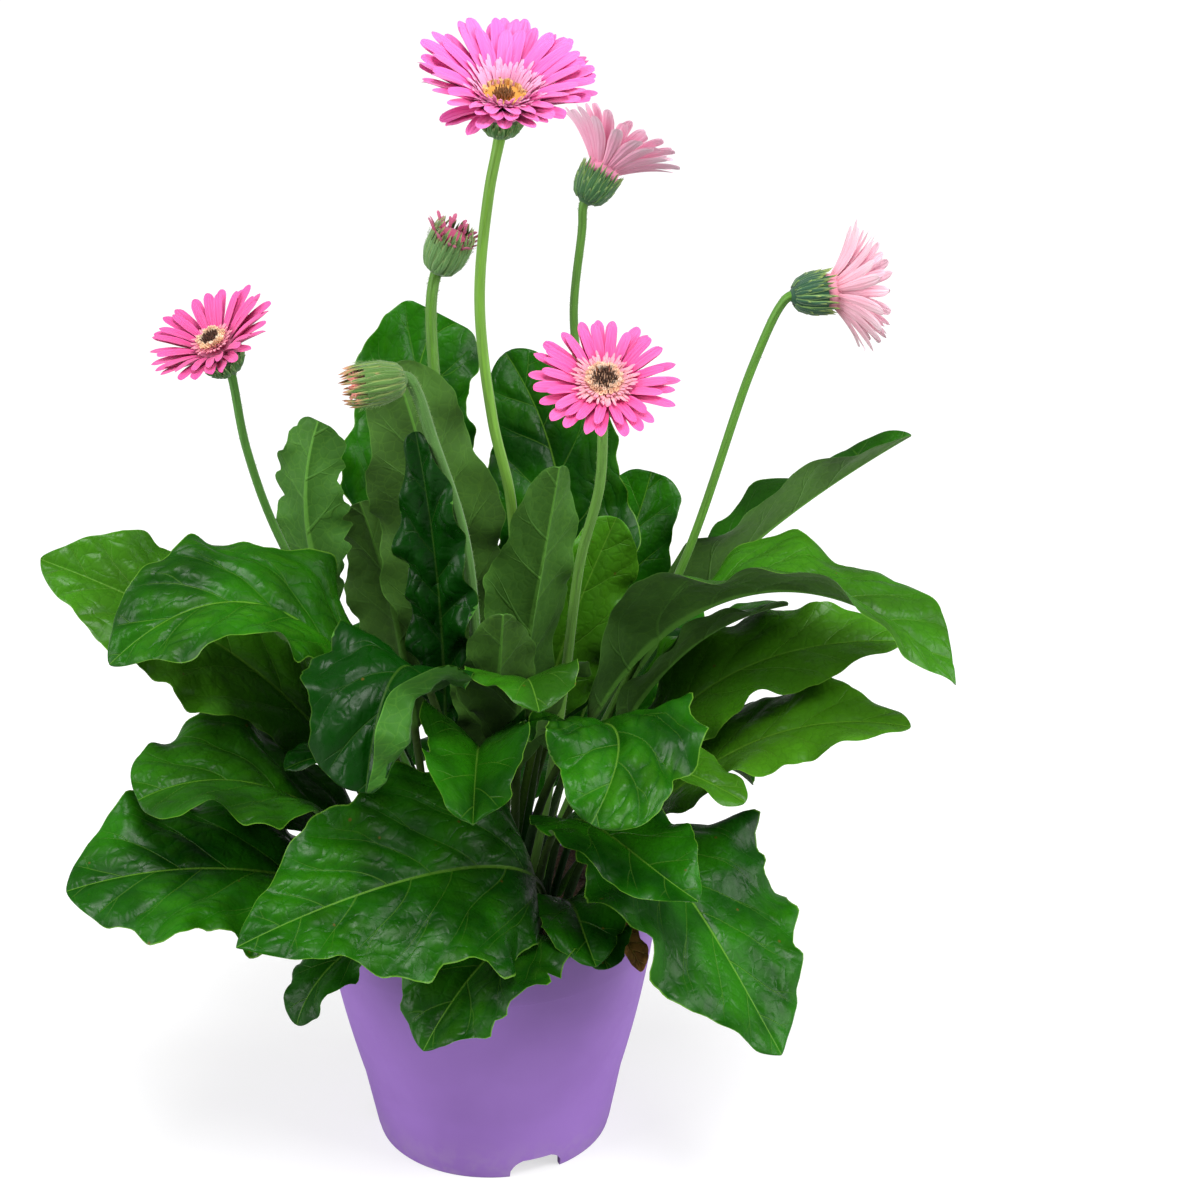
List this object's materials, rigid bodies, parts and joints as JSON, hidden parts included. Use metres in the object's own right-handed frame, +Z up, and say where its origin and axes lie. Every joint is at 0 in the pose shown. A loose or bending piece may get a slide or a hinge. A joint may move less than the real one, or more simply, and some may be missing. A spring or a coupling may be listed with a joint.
{
  "type": "potted gerbera",
  "caption": "Gerbera daisy in a round flared nursery pot: a mound of waved green leaves with open pink flower heads and fuzzy buds on tall bare stems.",
  "frame": {"origin": "middle of the pot's underside, on the surface that the pot stands on", "axes": "+Z up along the pot's axis, -Y towards the front of the plant, +X to its right seen from the front"},
  "size_m": [0.43, 0.336, 0.5625],
  "materials": {
    "pot": "smooth satin violet plastic",
    "soil": "moist dark potting compost",
    "leaf": "glossy deep green above, matt and paler below",
    "stem": "hairy light green",
    "withered_leaf": "dry brown",
    "ray": "soft pink petals",
    "disc": "pale florets round a dark middle"
  },
  "bodies": {
    "root": {"pot": "pot", "soil": "soil", "leaf_01": "leaf", "leaf_02": "leaf", "leaf_03": "leaf", "leaf_04": "leaf", "leaf_05": "leaf", "leaf_06": "leaf", "leaf_07": "leaf", "leaf_08": "leaf", "leaf_09": "leaf", "leaf_10": "leaf", "leaf_11": "leaf", "leaf_12": "leaf", "leaf_13": "leaf", "leaf_14": "leaf", "leaf_15": "leaf", "leaf_16": "leaf", "leaf_17": "leaf", "leaf_18": "leaf", "leaf_19": "leaf", "leaf_20": "leaf", "leaf_21": "leaf", "leaf_22": "leaf", "leaf_23": "leaf", "leaf_24": "leaf", "leaf_25": "leaf", "leaf_26": "leaf", "leaf_27": "leaf", "leaf_28": "leaf", "leaf_29": "leaf", "leaf_30": "leaf", "leaf_31": "leaf", "leaf_32": "leaf", "leaf_33": "leaf", "leaf_34": "leaf", "leaf_35": "leaf", "leaf_36": "leaf", "leaf_37": "leaf", "leaf_38": "leaf", "withered_leaf": "withered_leaf", "flower_1_stem": "stem", "flower_1_rays": "ray", "flower_1_disc": "disc", "flower_2_stem": "stem", "flower_2_rays": "ray", "flower_2_disc": "disc", "flower_3_stem": "stem", "flower_3_rays": "ray", "flower_3_disc": "disc", "flower_4_stem": "stem", "flower_4_rays": "ray", "flower_4_disc": "disc", "flower_5_stem": "stem", "flower_5_rays": "ray", "flower_5_disc": "disc", "bud_1_stem": "stem", "bud_1_rays": "ray", "bud_2_stem": "stem", "bud_2_rays": "ray"}
  },
  "joints": []
}
